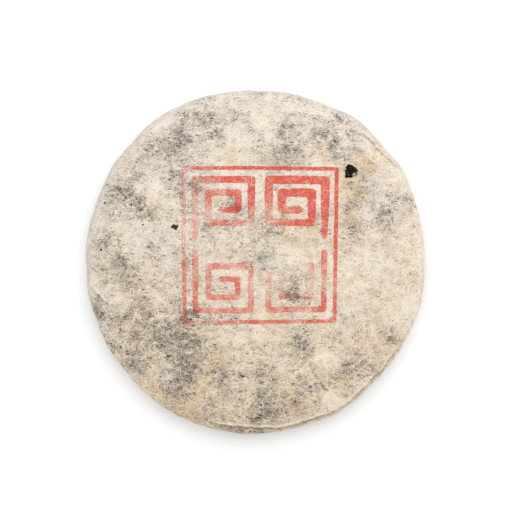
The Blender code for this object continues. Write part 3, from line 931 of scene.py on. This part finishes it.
def bark_fibre_finish(name):
    """Cream strands that let less of the dark tea through than the pulp under them."""
    material, tree, shader = new_finish(name, 0.80, 0.30)
    tone = attribute(tree, "fibre_tone")
    fine = grain(tree, 0.0012, 2.0, 0.5, 0.6)
    colour = layered(tree, attribute(tree, "warmth"), (0.66, 0.575, 0.480), (0.635, 0.49, 0.325))
    colour = layered(tree, eased(tree, tone, 0.3, 1.0, 0.0, 0.64), colour, (0.875, 0.788, 0.675))
    tan = attribute(tree, "tea_stain_and_shade")
    colour = layered(tree, eased(tree, tan, 0.1, 1.1, 0.0, 0.70), colour, (0.66, 0.50, 0.31))
    pale = eased(tree, attribute(tree, "leaf_dark_and_shading"), 0.35, -0.20, 0.0, 0.80)
    colour = layered(tree, pale, colour, (0.835, 0.745, 0.62))
    through = sums(tree, attribute(tree, "leaf_dark_and_shading"), scaled(tree, tone, 0.5, -0.9))
    colour = layered(tree, eased(tree, through, 0.05, 1.0, 0.0, 0.82), colour, (0.225, 0.192, 0.155))
    hold = eased(tree, tone, 1.0, 0.7, 0.7, 1.0)
    colour = printed(tree, colour, fine, tone, hold)
    tree.links.new(colour, shader.inputs["Base Color"])
    set_relief(tree, shader, fine, 0.00006, 0.4)
    return material


fibre_finish = bark_fibre_finish("mulberry_fibres")
fibre_draw = np.random.default_rng(23)
TOP_REACH = rim_length + 0.003
UNDER_REACH = float(profile_length[-1]) - rim_length
# The long ones are two pieces, so that neither has too many faces
for layer in range(2):
    walk = fibre_walk(strewn(LONG_FIBRES, fibre_draw, TOP_REACH), fibre_draw, (0.006, 0.015))
    lay_fibres("long_fibres_%d" % layer, *walk, fibre_draw, (0.00018, 0.00040))
walk = fibre_walk(strewn(SHORT_FIBRES, fibre_draw, TOP_REACH), fibre_draw, (0.002, 0.006))
lay_fibres("short_fibres", *walk, fibre_draw, (0.00018, 0.00034))
walk = fibre_walk(strewn(FIBRES_BELOW, fibre_draw, UNDER_REACH), fibre_draw, (0.006, 0.016))
lay_fibres("fibres_below", *walk, fibre_draw, (0.00022, 0.00048), True)
walk = fibre_walk(round_tear(TORN_FIBRES, fibre_draw), fibre_draw, (0.0009, 0.0019))
lay_fibres("torn_fibres", *walk, fibre_draw, (0.00010, 0.00022), raised=0.0003)

# The specks
# Crumbs of tea and chips of dark bark that were caught in the pulp when the sheet was made. Each
# is a small flattened lump, half sunk in the paper.

# The larger ones: x and y in millimetres, and half their length
SPECKS = (
    (-46.8, 17.6, 1.9), (-48.3, 17.7, 1.2), (-45.4, 17.9, 1.1), (-46.2, 16.4, 1.0),
    (-47.3, 18.9, 0.9), (3.9, 18.9, 0.65), (21.6, 13.0, 0.5), (31.2, -27.2, 0.75),
    (27.3, -37.9, 0.55), (79.7, -36.6, 0.5), (-88.8, 33.4, 0.7), (-87.5, 44.0, 0.6),
    (-90.2, 5.0, 0.9), (-56.7, -51.4, 0.6), (-54.8, -68.9, 0.6), (-23.4, -50.5, 0.8),
    (-42.1, -79.6, 0.8), (30.2, -94.0, 0.6), (42.0, -88.4, 0.6), (-84.0, 36.5, 0.55),
    (-91.5, 34.5, 0.5),
)
CRUMBS = 260
CRUMB_REACH = 0.095
speck_draw = np.random.default_rng(37)


def speck_points(lump, x, y, half, draw):
    """The points of one lump where the line from above meets the paper."""
    _, place, normal, _ = wrap.ray_cast(Vector((x, y, RAY_HEIGHT)), Vector((0.0, 0.0, -1.0)))
    turn = draw.uniform(0.0, math.tau)
    broad = draw.uniform(0.45, 0.8)
    ragged = 1.0 + draw.normal(0.0, 0.16, (len(lump), 1))
    along = Vector((math.cos(turn), math.sin(turn), 0.0)).cross(normal).normalized()
    across = normal.cross(along)
    axes = np.array((along * half, across * half * broad, normal * min(0.3 * half, 0.00018)))
    return (lump * ragged) @ axes + np.array(place)


def bark_finish(name):
    material, tree, shader = new_finish(name, 0.72, 0.25)
    patch = eased(tree, grain(tree, 0.0006, 2.0, 0.5), 0.35, 0.70)
    colour = layered(tree, patch, (0.014, 0.011, 0.009), (0.060, 0.044, 0.033))
    tree.links.new(colour, shader.inputs["Base Color"])
    set_relief(tree, shader, grain(tree, 0.0004, 2.0), 0.0001, 0.5)
    return material


lump_shape = bmesh.new()
bmesh.ops.create_icosphere(lump_shape, subdivisions=1, radius=1.0)
lump_points = np.array([point.co for point in lump_shape.verts])
bpy.context.view_layer.update()
speck_places = [(MM * x, MM * y, MM * half) for x, y, half in SPECKS]
for _ in range(CRUMBS):
    reach = CRUMB_REACH * math.sqrt(speck_draw.uniform(0.0, 1.0))
    turn = speck_draw.uniform(0.0, math.tau)
    half = speck_draw.uniform(0.00012, 0.00034)
    speck_places.append((reach * math.cos(turn), reach * math.sin(turn), half))
far_from_tear = [
    spot for spot in speck_places
    if math.hypot(spot[0] - TEAR_CENTRE[0], spot[1] - TEAR_CENTRE[1]) > 0.0065
]
lumps = [speck_points(lump_points, *spot, speck_draw) for spot in far_from_tear]
specks = joined_copies("bark_specks", lump_shape, lumps, bark_finish("dark_bark"))
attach(specks, "root")

# The floor
# A plain white table top, which isn't part of the cake.

floor_mesh = bpy.data.meshes.new("floor")
floor_shape = bmesh.new()
bmesh.ops.create_grid(floor_shape, x_segments=4, y_segments=4, size=3.0)
floor_shape.to_mesh(floor_mesh)
floor_shape.free()
floor_finish, floor_tree, floor_shader = new_finish("white_table", 0.95, 0.1)
floor_patch = grain(floor_tree, 0.5)
floor_tone = layered(floor_tree, floor_patch, (0.940, 0.945, 0.950), (0.950, 0.950, 0.950))
floor_tree.links.new(floor_tone, floor_shader.inputs["Base Color"])
floor = shown("floor", floor_mesh, floor_finish)

# The light
# A wide soft lamp beyond the top of the picture, and even light from all round.


def lamp(name, place, aim, size, power):
    light = bpy.data.lights.new(name, "AREA")
    light.shape = "DISK"
    light.size = size
    light.energy = power
    made = bpy.data.objects.new(name, light)
    made.location = place
    made.rotation_euler = (Vector(aim) - Vector(place)).to_track_quat("-Z", "Y").to_euler()
    bpy.context.scene.collection.objects.link(made)


lamp("window_above", (0.32, 1.15, 1.25), (0.0, 0.0, 0.0), 2.4, 11.8)
world = bpy.data.worlds.new("studio")
world.use_nodes = True
world.node_tree.nodes["Background"].inputs["Color"].default_value = (0.975, 0.99, 1.0, 1.0)
world.node_tree.nodes["Background"].inputs["Strength"].default_value = 1.01
bpy.context.scene.world = world

# The camera
# Almost straight above, a little towards the lower edge of the picture.

CAMERA_RISE = math.radians(84.0)
CAMERA_FAR = 0.715
CAMERA_AIM = Vector((0.00035, 0.0023, 0.0082))

view = bpy.data.cameras.new("camera")
view.lens = 85.0
camera = bpy.data.objects.new("camera", view)
back = Vector((0.0, -math.cos(CAMERA_RISE), math.sin(CAMERA_RISE)))
camera.location = CAMERA_AIM + CAMERA_FAR * back
camera.rotation_euler = (-back).to_track_quat("-Z", "Y").to_euler()
bpy.context.scene.collection.objects.link(camera)
bpy.context.scene.camera = camera
bpy.context.scene.view_settings.view_transform = "Standard"

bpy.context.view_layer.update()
